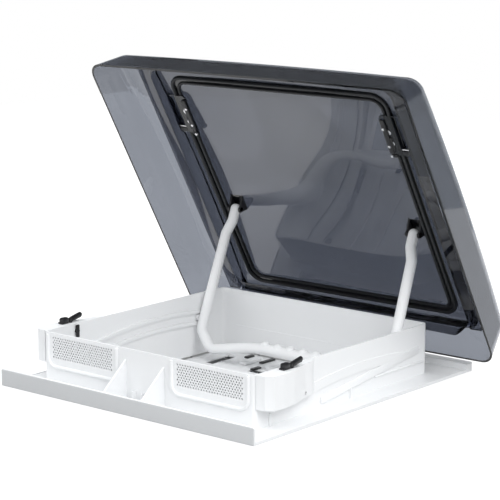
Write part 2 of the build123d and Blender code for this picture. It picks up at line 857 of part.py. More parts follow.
def catch_pocket_piece(side):
    """Clear plate on the pane with a pocket that takes the latch's arm."""
    middle_v = (catch_back + catch_front) / 2
    length = catch_front - catch_back
    pocket_width = catch_outer - pocket_inner
    with BuildPart() as pocket:
        add(pocket_blank)
        with BuildSketch(dome_plan(dome_middle_height)):
            with Locations((side * pocket_middle, middle_v)):
                Rectangle(pocket_width, length)
        extrude(amount=dome_middle_height - catch_flange_bottom, mode=Mode.INTERSECT)
        with BuildSketch(dome_plan(catch_flange_bottom)):
            with Locations((side * (catch_inner + catch_outer) / 2, middle_v)):
                RectangleRounded(catch_outer - catch_inner, length, catch_corner)
        extrude(amount=-catch_flange_thickness)
    with BuildPart() as core:
        add(pocket_core)
        with BuildSketch(dome_plan(dome_middle_height)):
            with Locations((side * pocket_middle, middle_v)):
                Rectangle(pocket_width - 2 * pocket_wall, length - 2 * pocket_wall)
        extrude(amount=dome_middle_height, mode=Mode.INTERSECT)
    with BuildPart() as hollow:
        add(pocket.part)
        add(core.part, mode=Mode.SUBTRACT)
        with BuildSketch(dome_side(side * catch_inner)):
            with Locations((catch_pin_v, catch_pin_w)):
                Circle(catch_pin_radius)
        extrude(amount=-side * (catch_outer - catch_inner - pocket_wall / 2), mode=Mode.SUBTRACT)
        with BuildSketch(dome_plan(catch_flange_bottom - overrun)):
            with Locations(*[(side * catch_screw_place, place) for place in catch_screw_places]):
                Circle(screw_radius)
        extrude(amount=-2 * overrun, mode=Mode.SUBTRACT)
    return hollow


def bow_bracket_piece(side):
    """Plate under the pane with two ears that hold the bow's pivot pin."""
    width = ear_gap + 2 * ear_thickness
    base_back = pivot_v - ear_base_length / 4
    with BuildPart() as bracket:
        for start in (-width / 2, width / 2 - ear_thickness):
            with BuildSketch(dome_side(side * bow_place + start)):
                with BuildLine():
                    Polyline((pivot_v - ear_radius, pivot_w), (pivot_v + ear_radius, pivot_w),
                             (base_back + ear_base_length, dome_middle_height),
                             (base_back, dome_middle_height), close=True)
                make_face()
                with Locations((pivot_v, pivot_w)):
                    Circle(ear_radius)
                    Circle(bow_pin_radius, mode=Mode.SUBTRACT)
            extrude(amount=-ear_thickness)
        with BuildSketch(dome_plan(dome_middle_height)):
            with Locations((side * bow_place, base_back + ear_base_length / 2)):
                Rectangle(width, ear_base_length)
        extrude(amount=dome_middle_height - pivot_w - bow_neck_radius - part_gap)
        add(seal_blank, mode=Mode.INTERSECT)
    return bracket


def bow_plane():
    """Plane of the bow, drawn in x and the distance from the pivot towards the grip."""
    return Plane(origin=bow_pivot, x_dir=across, z_dir=across.cross(bow_down))


def bow_path(side):
    """Half of the bow's centre line, from the neck to the middle of the grip."""
    return [(side * bow_place, bow_neck_length), (side * bow_upper_place, bow_joggle_end),
            (side * bow_lower_place, bow_bend_s), (side * bow_corner_place, bow_corner_s),
            (side * bow_mid_place, bow_mid_s), (side * bow_grip_place, bow_grip_s)]


def bow_handle_piece():
    """U shaped bow with finger bumps along its grip and bored necks at its pivots."""
    points = [(-bow_place, 0)] + bow_path(-1) + bow_path(1)[::-1] + [(bow_place, 0)]
    finger_row = bow_pivot + bow_down * (bow_grip_s - finger_rise)
    half = [bow_radius, bow_radius, bow_bend_radius, bow_bend_radius, bow_bend_radius, bow_bend_radius]
    with BuildPart() as bow:
        with BuildLine(bow_plane()) as path:
            FilletPolyline(*points, radius=half + half[::-1])
        with BuildSketch(Plane(origin=path.line @ 0, z_dir=path.line % 0)):
            Circle(bow_neck_radius)
        sweep()
        for side in sides.values():
            with Locations(bow_pivot + across * side * bow_place):
                Sphere(bow_neck_radius)
            with BuildSketch(side_plane(side * (bow_place - bow_radius))):
                with Locations((bow_pivot.Y, bow_pivot.Z)):
                    Circle(bow_pin_radius + running_gap)
            extrude(amount=side * 2 * bow_radius, mode=Mode.SUBTRACT)
            with BuildSketch(side_plane(side * bow_guide_place)):
                with Locations((guide_open_y, guide_open_z)):
                    Circle(roller_pin_radius)
            extrude(amount=side * (bow_radius + overrun), mode=Mode.SUBTRACT)
        with Locations(*[finger_row + across * place for place in finger_places]):
            Sphere(finger_radius)
    return bow


def bow_pin_piece(side):
    """Pivot pin of the bow, held in a bracket's ears."""
    length = ear_gap + 2 * ear_thickness
    with BuildPart() as pin:
        with BuildSketch(side_plane(side * bow_place - length / 2)):
            with Locations((bow_pivot.Y, bow_pivot.Z)):
                Circle(bow_pin_radius)
        extrude(amount=length)
    return pin


def guide_roller_piece(side):
    """Guide pin of the bow with the roller that runs in the rail's groove."""
    with BuildPart() as roller:
        with BuildSketch(side_plane(side * bow_guide_place)):
            with Locations((guide_open_y, guide_open_z)):
                Circle(roller_pin_radius)
        extrude(amount=side * (rail_face - bow_guide_place))
        with BuildSketch(side_plane(side * rail_face)):
            with Locations((guide_open_y, guide_open_z)):
                Circle(roller_radius)
        extrude(amount=side * roller_width)
    return roller


def catch_block_piece(side):
    """Black guide block in the back end of a catch's pocket."""
    width = catch_outer - pocket_inner - 2 * pocket_wall - 2 * part_gap
    back = catch_back + pocket_wall + part_gap
    with BuildPart() as block:
        with BuildSketch(dome_plan(catch_pin_w + catch_block_length)):
            with Locations((side * pocket_middle, back)):
                Rectangle(width, catch_pin_v - catch_pin_radius - part_gap - back,
                          align=(Align.CENTER, Align.MIN))
        extrude(amount=catch_pin_w + catch_block_length - catch_flange_bottom)
    return block


def catch_pin_piece(side):
    """Cross pin of a catch, which the latch's hook pulls down."""
    with BuildPart() as pin:
        with BuildSketch(dome_side(side * (pocket_inner + pocket_wall / 2))):
            with Locations((catch_pin_v, catch_pin_w)):
                Circle(catch_pin_radius)
        extrude(amount=-side * (catch_outer - pocket_inner - pocket_wall))
    return pin


def catch_screws_piece():
    """Screws that hold the catches' plates to the pane."""
    with BuildPart() as screws:
        for side in sides.values():
            for place in catch_screw_places:
                with BuildSketch(dome_plan(catch_flange_bottom)):
                    with Locations((side * catch_screw_place, place)):
                        Circle(screw_head_radius)
                extrude(amount=screw_head_height / 4)
                with BuildSketch(dome_plan(catch_flange_bottom)):
                    with Locations((side * catch_screw_place, place)):
                        Circle(screw_radius)
                extrude(amount=-catch_flange_thickness)
    return screws


def housing_screws_piece():
    """Screws through the tails of the latch housings into the side walls."""
    with BuildPart() as screws:
        for side in sides.values():
            with BuildSketch(side_plane(side * upstand_half)):
                with Locations((housing_screw_y, housing_screw_z)):
                    Circle(screw_radius)
            extrude(amount=side * housing_reach / 4)
    return screws


def inner_frame_piece():
    """Ceiling trim with the tray that holds the blinds, open in the middle for light and air."""
    tray_bottom = tray_top - tray_height
    ceiling = -roof_thickness
    with BuildPart() as frame:
        with BuildSketch(Plane.XY.offset(ceiling)):
            RectangleRounded(trim_size, trim_size, trim_corner)
        extrude(amount=-trim_thickness)
        with BuildSketch(Plane.XY.offset(tray_bottom)):
            RectangleRounded(tray_size, tray_size, trim_corner)
        extrude(amount=tray_height)
        with BuildSketch(Plane.XY.offset(tray_top)):
            Rectangle(tray_size - 2 * tray_wall, tray_size - 2 * tray_wall)
            fillet(vertices(), trim_corner - tray_wall)
        extrude(amount=tray_wall - tray_height, mode=Mode.SUBTRACT)
        with BuildSketch(Plane.XY.offset(tray_bottom - overrun)):
            with Locations((0, (rear_cover_front + front_cover_back) / 2)):
                Rectangle(2 * light_opening_half, rear_cover_front - front_cover_back)
            fillet(vertices(), tray_wall * 2)
        extrude(amount=tray_height, mode=Mode.SUBTRACT)
        with BuildSketch(Plane.XY.offset(tray_top)):
            RectangleRounded(tray_size, tray_size, trim_corner)
            with Locations((0, (cover_back + front_cover_front) / 2)):
                Rectangle(2 * cover_half_width + 2 * part_gap,
                          cover_back - front_cover_front + 2 * part_gap, mode=Mode.SUBTRACT)
        extrude(amount=-cover_thickness)
        for side in sides.values():
            with BuildSketch(Plane.XY.offset(tray_bottom)):
                with Locations((side * light_opening_half, (rear_cover_front + front_cover_back) / 2)):
                    Rectangle(channel_width, rear_cover_front - front_cover_back,
                              align=(Align.MIN if side > 0 else Align.MAX, Align.CENTER))
            extrude(amount=bar_z - bar_height / 2 - part_gap - tray_bottom)
        for x in (-cover_half_width, cover_half_width):
            for y in (front_cover_front, cover_back):
                with BuildSketch(Plane.XY.offset(tray_bottom)):
                    with Locations((x - x / abs(x) * cover_post, y - y / abs(y) * cover_post)):
                        Rectangle(cover_post, cover_post)
                extrude(amount=tray_height - cover_thickness)
        with BuildSketch(Plane.XY.offset(ceiling)):
            with Locations(*frame_screw_places):
                Circle(screw_radius + part_gap)
        extrude(amount=-trim_thickness, mode=Mode.SUBTRACT)
    return frame


def frame_screws_piece():
    """Screws up through the ceiling trim into the outer frame's bosses, clamping the roof."""
    with BuildPart() as screws:
        with BuildSketch(Plane.XY.offset(-roof_thickness - trim_thickness)):
            with Locations(*frame_screw_places):
                Circle(screw_head_radius)
        extrude(amount=-screw_head_height)
        with BuildSketch(Plane.XY.offset(-roof_thickness - trim_thickness)):
            with Locations(*frame_screw_places):
                Circle(pilot_radius)
        extrude(amount=roof_thickness + trim_thickness - overrun)
    return screws


def cover_piece(front, back, slots):
    """Cover of one blind cassette, let into the tray's top."""
    with BuildPart() as cover:
        with BuildSketch(Plane.XY.offset(tray_top)):
            with Locations((0, (front + back) / 2)):
                Rectangle(2 * cover_half_width, back - front)
            for x, width, length in slots:
                with Locations((x, front + slot_front_gap)):
                    Rectangle(width, length, align=(Align.CENTER, Align.MIN), mode=Mode.SUBTRACT)
        extrude(amount=-cover_thickness)
    return cover


def tube_piece(y, outer, inner, length):
    """Tube or rod along X in a cassette."""
    with BuildPart() as tube:
        with BuildSketch(side_plane(-length / 2)):
            with Locations((y, roller_z)):
                Circle(outer)
                if inner > 0:
                    Circle(inner, mode=Mode.SUBTRACT)
        extrude(amount=length)
    return tube


def bar_piece(y):
    """Pull bar of a blind, with the finger ledge on its lower edge and its ends in the side channels."""
    ledge_width = bar_width - 4 * bar_depth
    with BuildPart() as bar:
        with BuildSketch(side_plane(-bar_width / 2)):
            with Locations((y, bar_z)):
                Rectangle(bar_depth, bar_height)
        extrude(amount=bar_width)
        with BuildSketch(side_plane(-ledge_width / 2)):
            with Locations((y, bar_z)):
                Rectangle(bar_depth / 3, bar_height * 2, align=(Align.CENTER, Align.MAX))
        extrude(amount=ledge_width)
    return bar


def end_caps_piece(y):
    """Bearings of a roller, on the tray's floor."""
    length = blind_roller_length / 2 + part_gap
    floor = tray_top - tray_height + tray_wall
    with BuildPart() as caps:
        for side in sides.values():
            with BuildSketch(side_plane(side * length)):
                with Locations((y, floor)):
                    Rectangle(2 * blind_roller_radius, roller_z - floor, align=(Align.CENTER, Align.MIN))
                with Locations((y, roller_z)):
                    Circle(blind_roller_radius)
            extrude(amount=side * end_cap_thickness)
    return caps


# Derived places that several pieces share
latch_neck = latch_hub_radius - latch_tab_thickness / 2
latch_slot_front = latch_y - latch_neck - part_gap
latch_shaft_start = bow_lower_place + roller_radius * 2
latch_shaft_end = upstand_half + latch_shaft_reach
fabric_width = blind_roller_length - end_cap_thickness
cover_post = 8
frame_screw_steps = (-frame_screw_pitch, 0, frame_screw_pitch)
frame_screw_row = [(side * frame_screw_place, step) for side in sides.values() for step in frame_screw_steps]
frame_screw_places = frame_screw_row + [(y, x) for x, y in frame_screw_row]
pocket_middle = (pocket_inner + catch_outer) / 2
bow_pivot = dome_point(pivot_v, pivot_w)
guide_run = Vector(0, guide_open_y, guide_open_z) - bow_pivot
bow_down = guide_run.normalized()
bow_guide_place = bow_lower_place
bow_bend_radius = 18
rail_face = upstand_half - upstand_wall - guide_thickness
finger_places = [(number - (finger_count - 1) / 2) * finger_pitch for number in range(finger_count)]
rear_slots = []
for side in sides.values():
    rear_slots.append((side * (slot_outer - slot_width / 2), slot_width, slot_length))
    rear_slots.append((side * (small_slot_outer - small_slot_width / 2), small_slot_width, small_slot_length))
catch_screw_places = (catch_screw_v, catch_screw_v + bow_neck_length)

# Blanks of the dome's curved pieces
outer_blank = dome_blank(0)
inner_blank = dome_blank(dome_wall)
pane_blank = dome_blank(pane_depth)
seal_blank = dome_blank(pane_depth + pane_thickness)
pocket_blank = crowned_band(pocket_roof_depth, dome_middle_height, catch_back, catch_front)
pocket_core = crowned_band(pocket_roof_depth + pocket_wall, dome_middle_height, catch_back, catch_front)

with BuildPart() as dome_shell:
    add(outer_blank)
    add(inner_blank, mode=Mode.SUBTRACT)
finish(dome_shell, "dome_shell")
finish(base_frame_piece(), "base_frame")
finish(inner_pane_piece(), "inner_pane")
finish(pane_spacer_piece(), "pane_spacer")
finish(pane_seal_piece(), "pane_seal")
finish(bow_handle_piece(), "bow_handle")
finish(catch_screws_piece(), "catch_screws")
finish(housing_screws_piece(), "housing_screws")
finish(inner_frame_piece(), "inner_frame")
finish(frame_screws_piece(), "frame_screws")
finish(cover_piece(rear_cover_front, cover_back, rear_slots), "rear_cover")
finish(cover_piece(front_cover_front, front_cover_back, ()), "front_cover")
finish(bar_piece(rear_bar_y), "blind_bar")
finish(bar_piece(front_bar_y), "screen_bar")
finish(tube_piece(rear_roller_y, blind_roller_radius, 0, blind_roller_length), "blind_roller")
finish(tube_piece(front_roller_y, blind_roller_radius, 0, blind_roller_length), "screen_roller")
finish(tube_piece(rear_roller_y, blind_roll_radius, blind_roller_radius, fabric_width), "blind_fabric")
finish(tube_piece(front_roller_y, screen_roll_radius, blind_roller_radius, fabric_width), "screen_fabric")
finish(end_caps_piece(rear_roller_y), "blind_bearings")
finish(end_caps_piece(front_roller_y), "screen_bearings")
for name, side in sides.items():
    finish(grille_piece(side), f"grille_{name}")
    finish(latch_housing_piece(side), f"latch_housing_{name}")
    finish(guide_rail_piece(side), f"guide_rail_{name}")
    finish(latch_base_piece(side), f"latch_base_{name}")
    finish(latch_lever_piece(side), f"latch_lever_{name}")
    finish(hinge_bracket_piece(side), f"hinge_bracket_{name}")
    finish(hinge_pin_piece(side), f"hinge_pin_{name}")
    finish(hinge_arm_piece(side), f"hinge_arm_{name}")
    finish(catch_pocket_piece(side), f"catch_pocket_{name}")
    finish(catch_block_piece(side), f"catch_block_{name}")
    finish(catch_pin_piece(side), f"catch_pin_{name}")
    finish(bow_bracket_piece(side), f"bow_bracket_{name}")
    finish(bow_pin_piece(side), f"bow_pin_{name}")
    finish(guide_roller_piece(side), f"guide_roller_{name}")
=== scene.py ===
"""Roof vent for a caravan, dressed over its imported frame: camera, light, materials and detailed pieces."""
from math import cos, pi, radians, sin, sqrt

import bmesh
import bpy
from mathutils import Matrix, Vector


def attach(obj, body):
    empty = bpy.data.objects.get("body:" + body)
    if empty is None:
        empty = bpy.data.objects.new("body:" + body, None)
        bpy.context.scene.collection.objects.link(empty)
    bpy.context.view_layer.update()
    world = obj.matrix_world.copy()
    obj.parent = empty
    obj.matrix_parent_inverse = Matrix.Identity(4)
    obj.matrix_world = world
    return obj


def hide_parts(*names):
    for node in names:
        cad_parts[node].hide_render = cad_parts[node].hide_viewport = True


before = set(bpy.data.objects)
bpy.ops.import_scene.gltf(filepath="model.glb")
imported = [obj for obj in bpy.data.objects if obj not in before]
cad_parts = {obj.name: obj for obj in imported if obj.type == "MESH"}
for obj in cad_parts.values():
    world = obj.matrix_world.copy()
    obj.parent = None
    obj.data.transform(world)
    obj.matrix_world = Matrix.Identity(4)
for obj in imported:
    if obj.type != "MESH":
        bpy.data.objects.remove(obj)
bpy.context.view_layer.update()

scene = bpy.context.scene
scene.view_settings.view_transform = "Standard"

# Directions and sides
ACROSS = Vector((1, 0, 0))
AHEAD = Vector((0, 1, 0))
UPWARD = Vector((0, 0, 1))
SIDES = {"left": -1, "right": 1}

# Camera, at the photograph's angle
CAMERA_PLACE = Vector((1.585, -1.8663, 0.647))
CAMERA_AIM = Vector((0.04445, -0.0275, 0.1818))
CAMERA_LENS = 138.57
CAMERA_SENSOR = 36.0
CAMERA_NEAR = 0.05


def facing(way):
    """Rotation of a camera or lamp that looks one way."""
    return way.to_track_quat("-Z", "Y").to_euler()


def make_camera():
    """Camera of the scene."""
    data = bpy.data.cameras.new("camera")
    data.sensor_width = CAMERA_SENSOR
    data.lens = CAMERA_LENS
    data.clip_start = CAMERA_NEAR
    camera = bpy.data.objects.new("camera", data)
    camera.location = CAMERA_PLACE
    camera.rotation_euler = facing(CAMERA_AIM - CAMERA_PLACE)
    scene.collection.objects.link(camera)
    scene.camera = camera


make_camera()


# Node helpers
NOISE_RANGE = (0.3, 0.7)
NOISE_MIDDLE = 0.5


def noise(nodes, links, scale, detail=3.0, stretch=(1, 1, 1), output="Fac"):
    """Noise in the object's own coordinates; the scale counts in waves per metre."""
    place = nodes.new("ShaderNodeTexCoord")
    mapping = nodes.new("ShaderNodeMapping")
    mapping.inputs["Scale"].default_value = stretch
    texture = nodes.new("ShaderNodeTexNoise")
    texture.inputs["Scale"].default_value = scale
    texture.inputs["Detail"].default_value = detail
    links.new(place.outputs["Object"], mapping.inputs["Vector"])
    links.new(mapping.outputs["Vector"], texture.inputs["Vector"])
    return texture.outputs[output]


def ranged(nodes, links, source, before, after, smooth=False):
    """Number carried from one range to another, evenly or with soft ends."""
    ramp = nodes.new("ShaderNodeMapRange")
    if smooth:
        ramp.interpolation_type = "SMOOTHSTEP"
    ramp.inputs["From Min"].default_value, ramp.inputs["From Max"].default_value = before
    ramp.inputs["To Min"].default_value, ramp.inputs["To Max"].default_value = after
    links.new(source, ramp.inputs["Value"])
    return ramp.outputs["Result"]


def tinted(nodes, links, source, first, second):
    """Mixes two colours by a number."""
    mix = nodes.new("ShaderNodeMix")
    mix.data_type = "RGBA"
    mix.inputs["A"].default_value = (*first, 1)
    mix.inputs["B"].default_value = (*second, 1)
    links.new(source, mix.inputs["Factor"])
    return mix.outputs["Result"]


def bump(nodes, links, shader, source, strength, distance):
    """Relief from a number that changes over the surface."""
    relief = nodes.new("ShaderNodeBump")
    relief.inputs["Strength"].default_value = strength
    relief.inputs["Distance"].default_value = distance
    links.new(source, relief.inputs["Height"])
    links.new(relief.outputs["Normal"], shader.inputs["Normal"])


def number_math(nodes, links, operation, first, second):
    """Result of one operation on two numbers."""
    step = nodes.new("ShaderNodeMath")
    step.operation = operation
    links.new(first, step.inputs[0])
    links.new(second, step.inputs[1])
    return step.outputs["Value"]


def vector_math(nodes, links, operation, first, second=None):
    """Result of one operation on a vector and, where it takes one, a second vector or a number."""
    step = nodes.new("ShaderNodeVectorMath")
    step.operation = operation
    links.new(first, step.inputs[0])
    if isinstance(second, float):
        step.inputs[1].default_value = (second, second, second)
    elif second is not None:
        links.new(second, step.inputs[1])
    return step.outputs["Vector"]


def mixed(nodes, links, factor, first, second):
    """Mixes two shaders by a number."""
    mix = nodes.new("ShaderNodeMixShader")
    links.new(factor, mix.inputs["Fac"])
    links.new(first, mix.inputs[1])
    links.new(second, mix.inputs[2])
    return mix.outputs["Shader"]


# Materials
CLOUD_SCALE = 14
GRAIN_DETAIL = 2
GRAIN_STRENGTH = 0.35
PLASTIC_UNEVEN = (-0.04, 0.05)
TINT_SCALE = 7
ACRYLIC_UNEVEN = 0.02
WAVE_SCALE = 5.0
STREAK_SCALE = 160
STREAK_DETAIL = 4
STREAK_STRENGTH = 0.2
STREAK_DEPTH = 0.00002
METAL_UNEVEN = (-0.05, 0.08)
CLOTH_ROUGHNESS = 0.85
THREAD_STRENGTH = 0.5
BAND_FACTOR = 20  # Blender's band texture multiplies its scale by this
PANE_INDEX = 1.62
PANE_WAVES = 0.28


def new_material(name):
    """Node material, with its nodes, its links and its shader."""
    material = bpy.data.materials.new(name)
    material.use_nodes = True
    nodes, links = material.node_tree.nodes, material.node_tree.links
    return material, nodes, links, nodes["Principled BSDF"]


def plastic(name, first, second, rough, grain=900, depth=0.00002):
    """Moulded plastic: two close colours in slow clouds, a fine grain and uneven gloss."""
    material, nodes, links, shader = new_material(name)
    slow = noise(nodes, links, CLOUD_SCALE)
    fine = noise(nodes, links, grain, GRAIN_DETAIL)
    gloss = [rough + change for change in PLASTIC_UNEVEN]
    links.new(tinted(nodes, links, slow, first, second), shader.inputs["Base Color"])
    links.new(ranged(nodes, links, slow, NOISE_RANGE, gloss), shader.inputs["Roughness"])
    bump(nodes, links, shader, fine, GRAIN_STRENGTH, depth)
    return material


def wavy_normal(nodes, links, amount):
    """Surface normal tilted slowly to and fro, as on a sheet drawn over a mould."""
    surface = nodes.new("ShaderNodeNewGeometry").outputs["Normal"]
    waves = noise(nodes, links, WAVE_SCALE, 0.0, output="Color")
    centred = vector_math(nodes, links, "SUBTRACT", waves, NOISE_MIDDLE)
    tilt = vector_math(nodes, links, "MULTIPLY", centred, amount)
    tilted = vector_math(nodes, links, "ADD", surface, tilt)
    return vector_math(nodes, links, "NORMALIZE", tilted)


def acrylic(name, first, second, rough, index=1.49, waves=0.0):
    """Tinted clear sheet with a faint drift in its tint and, when drawn over a mould, slow waves."""
    material, nodes, links, shader = new_material(name)
    slow = noise(nodes, links, TINT_SCALE)
    gloss = (rough, rough + ACRYLIC_UNEVEN)
    links.new(tinted(nodes, links, slow, first, second), shader.inputs["Base Color"])
    links.new(ranged(nodes, links, slow, NOISE_RANGE, gloss), shader.inputs["Roughness"])
    shader.inputs["Transmission Weight"].default_value = 1.0
    shader.inputs["IOR"].default_value = index
    if waves > 0:
        links.new(wavy_normal(nodes, links, waves), shader.inputs["Normal"])
    return material


def metal(name, first, second, rough, stretch=(1, 1, 1)):
    """Bare metal with mottled gloss, drawn out into streaks where it is stretched."""
    material, nodes, links, shader = new_material(name)
    streaks = noise(nodes, links, STREAK_SCALE, STREAK_DETAIL, stretch)
    gloss = [rough + change for change in METAL_UNEVEN]
    links.new(tinted(nodes, links, streaks, first, second), shader.inputs["Base Color"])
    links.new(ranged(nodes, links, streaks, NOISE_RANGE, gloss), shader.inputs["Roughness"])
    shader.inputs["Metallic"].default_value = 1.0
    bump(nodes, links, shader, streaks, STREAK_STRENGTH, STREAK_DEPTH)
    return material


def cloth(name, first, second, thread, depth):
    """Plain weave of two crossed bands; a band repeats after 2 pi times the given thread."""
    material, nodes, links, shader = new_material(name)
    place = nodes.new("ShaderNodeTexCoord")
    heights = []
    for direction in ("X", "DIAGONAL"):
        wave = nodes.new("ShaderNodeTexWave")
        wave.wave_type = "BANDS"
        wave.bands_direction = direction
        wave.inputs["Scale"].default_value = 1 / (thread * BAND_FACTOR)
        links.new(place.outputs["Object"], wave.inputs["Vector"])
        heights.append(wave.outputs["Fac"])
    weave = number_math(nodes, links, "MULTIPLY", *heights)
    links.new(tinted(nodes, links, weave, first, second), shader.inputs["Base Color"])
    shader.inputs["Roughness"].default_value = CLOTH_ROUGHNESS
    bump(nodes, links, shader, weave, THREAD_STRENGTH, depth)
    return material


# Each material's recipe and its values: two colours, the roughness or thread, and the optional ones
RECIPES = {
    "white_plastic": (plastic, (0.83, 0.84, 0.85), (0.87, 0.875, 0.88), 0.34),
    "dome_acrylic": (acrylic, (0.215, 0.23, 0.262), (0.24, 0.255, 0.29), 0.02),
    "pane_acrylic": (acrylic, (0.22, 0.232, 0.27), (0.25, 0.262, 0.3), 0.0, PANE_INDEX, PANE_WAVES),
    "border_acrylic": (acrylic, (0.3, 0.32, 0.4), (0.34, 0.36, 0.44), 0.05),
    # Near-black acrylic for the sheet inside the dome's front wall: painted shade.
    "dome_front_painted_shade": (acrylic, (0.012, 0.014, 0.022), (0.018, 0.02, 0.03), 0.05),
    # Darker grey copy of the white plastic for the fascia's front: painted shade.
    "fascia_painted_shade": (plastic, (0.6, 0.61, 0.62), (0.64, 0.65, 0.66), 0.4),
    "clear_plastic": (acrylic, (0.13, 0.14, 0.17), (0.17, 0.18, 0.21), 0.05),
    "seal_rubber": (plastic, (0.008, 0.009, 0.011), (0.013, 0.014, 0.017), 0.5, 600, 0.00006),
    "black_plastic": (plastic, (0.01, 0.01, 0.011), (0.016, 0.016, 0.018), 0.36, 800, 0.00004),
    "steel": (metal, (0.62, 0.62, 0.63), (0.75, 0.75, 0.76), 0.22),
    "roller_aluminium": (metal, (0.66, 0.67, 0.68), (0.78, 0.79, 0.8), 0.34, (1, 12, 12)),
    "blind_cloth": (cloth, (0.42, 0.43, 0.45), (0.6, 0.61, 0.63), 0.0006, 0.00012),
    "screen_mesh": (cloth, (0.02, 0.02, 0.022), (0.09, 0.09, 0.095), 0.0011, 0.0002),
}
MATERIALS = {name: recipe(name, *values) for name, (recipe, *values) in RECIPES.items()}


def paint(piece, finish):
    """Gives a piece one of the materials."""
    piece.data.materials.clear()
    piece.data.materials.append(MATERIALS[finish])


# CAD nodes of each material slot; a star stands for both sides
NODE_SLOTS = {
    "white_plastic": ("base_frame", "grille_*", "latch_housing_*", "guide_rail_*", "hinge_bracket_*",
                      "hinge_arm_*", "inner_frame", "rear_cover", "front_cover", "blind_bar", "screen_bar",
                      "bow_handle", "blind_bearings", "screen_bearings", "guide_roller_*"),
    "dome_acrylic": ("dome_shell",),
    "pane_acrylic": ("inner_pane",),
    "clear_plastic": ("catch_pocket_*",),
    "seal_rubber": ("pane_seal", "pane_spacer"),
    "black_plastic": ("latch_base_*", "latch_lever_*", "bow_bracket_*", "catch_block_*"),
    "steel": ("hinge_pin_*", "bow_pin_*", "catch_pin_*", "catch_screws", "housing_screws", "frame_screws"),
    "roller_aluminium": ("blind_roller", "screen_roller"),
    "blind_cloth": ("blind_fabric",),
    "screen_mesh": ("screen_fabric",),
}


def paint_nodes():
    """Gives every CAD node the material of its slot."""
    for slot, patterns in NODE_SLOTS.items():
        for pattern in patterns:
            for node_name in sorted({pattern.replace("*", side_name) for side_name in SIDES}):
                paint(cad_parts[node_name], slot)


paint_nodes()


# Mesh helpers; pieces are drawn in millimetres
MM = 0.001
WELD = 0.01
SHARP_ANGLE = 38
EASING = ((0, 1), (0.3, 0.3), (1, 0))  # depth into a bar's eased end, and what its half sizes lose there


def new_piece(name, mesh_data, slot, body, replaces=(), angle=SHARP_ANGLE, finish=None):
    """Object from a mesh in millimetres, painted, riding on a body and standing for CAD nodes."""
    bmesh.ops.remove_doubles(mesh_data, verts=mesh_data.verts, dist=WELD)
    bmesh.ops.recalc_face_normals(mesh_data, faces=mesh_data.faces)
    bmesh.ops.scale(mesh_data, vec=(MM, MM, MM), verts=mesh_data.verts)
    mesh = bpy.data.meshes.new(name)
    mesh_data.to_mesh(mesh)
    mesh_data.free()
    mesh.shade_smooth()
    mesh.set_sharp_from_angle(angle=radians(angle))
    piece = bpy.data.objects.new(name, mesh)
    scene.collection.objects.link(piece)
    paint(piece, finish or slot)
    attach(piece, body)
    if replaces:
        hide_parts(*replaces)


def base_at(x, y, z):
    """Point of the base, from the centre of the roof's cut-out."""
    return Vector((x, y, z))


# The open dome: its rim's back edge, and the ways along and above the rim
DOME_ORIGIN = Vector((0, 213.718, 19.201))
DOME_ALONG = Vector((0, -0.5, sqrt(3) / 2))
DOME_ABOVE = Vector((0, sqrt(3) / 2, 0.5))


def dome_at(x, v, w):
    """Point of the open dome, from x, the distance from its back edge and the height over its rim."""
    return DOME_ORIGIN + ACROSS * x + DOME_ALONG * v + DOME_ABOVE * w


def sweep(mesh_data, places, sizes, up, sides=20, square=2.0, closed=False):
    """Skin over rounded sections carried along a path; a larger square makes the sections boxier."""
    count = len(places)
    rings = []
    for index, place in enumerate(places):
        after = places[(index + 1) % count] if closed else places[min(index + 1, count - 1)]
        before = places[index - 1] if closed else places[max(index - 1, 0)]
        ahead = (after - before).normalized()
        side = ahead.cross(up).normalized()
        rise = side.cross(ahead).normalized()
        wide, tall = sizes[index] if isinstance(sizes, list) else sizes
        ring = []
        for step in range(sides):
            turn = 2 * pi * step / sides
            run, climb = cos(turn), sin(turn)
            run = abs(run) ** (2 / square) * (1 if run > 0 else -1)
            climb = abs(climb) ** (2 / square) * (1 if climb > 0 else -1)
            ring.append(mesh_data.verts.new(place + side * wide * run + rise * tall * climb))
        rings.append(ring)
    pairs = list(zip(rings, rings[1:]))
    if closed:
        pairs.append((rings[-1], rings[0]))
    for first, second in pairs:
        for step in range(sides):
            after = (step + 1) % sides
            mesh_data.faces.new((first[step], first[after], second[after], second[step]))
    if not closed:
        mesh_data.faces.new(rings[0][::-1])
        mesh_data.faces.new(rings[-1])


def curve(points, steps=5):
    """Smooth line through points, with the same number of steps between each two."""
    padded = [2 * points[0] - points[1]] + points + [2 * points[-1] - points[-2]]
    line = []
    for a, b, c, d in zip(padded, padded[1:], padded[2:], padded[3:]):
        for step in range(steps):
            t = step / steps
            line.append((2 * b + (c - a) * t + (2 * a - 5 * b + 4 * c - d) * t ** 2
                         + (3 * b - a - 3 * c + d) * t ** 3) / 2)
    return line + [points[-1]]


def even_sizes(start, end, count):
    """Sizes in even steps from one to another."""
    return [Vector(start).lerp(Vector(end), step / (count - 1)) for step in range(count)]


def bar(mesh_data, start, end, size, up, ends, square):
    """Straight bar from half sizes, narrowed at its ends as EASING says, in shares of the eased length."""
    way = (end - start).normalized()
    wide, tall = size
    first = [start + way * ends * depth for depth, loss in EASING]
    last = [end - way * ends * depth for depth, loss in EASING[::-1]]
    eased = [(wide - ends * loss, tall - ends * loss) for depth, loss in EASING]
    sweep(mesh_data, first + last, eased + eased[::-1], up, square=square)


def bars(mesh_data, rows, side=1, at=base_at, up=UPWARD):
    """Bars of one side, from rows: both ends, half sizes, the length of the eased ends and squareness."""
    for (start_x, *start), (end_x, *end), size, ends, square in rows:
        bar(mesh_data, at(side * start_x, *start), at(side * end_x, *end), size, up, ends, square)


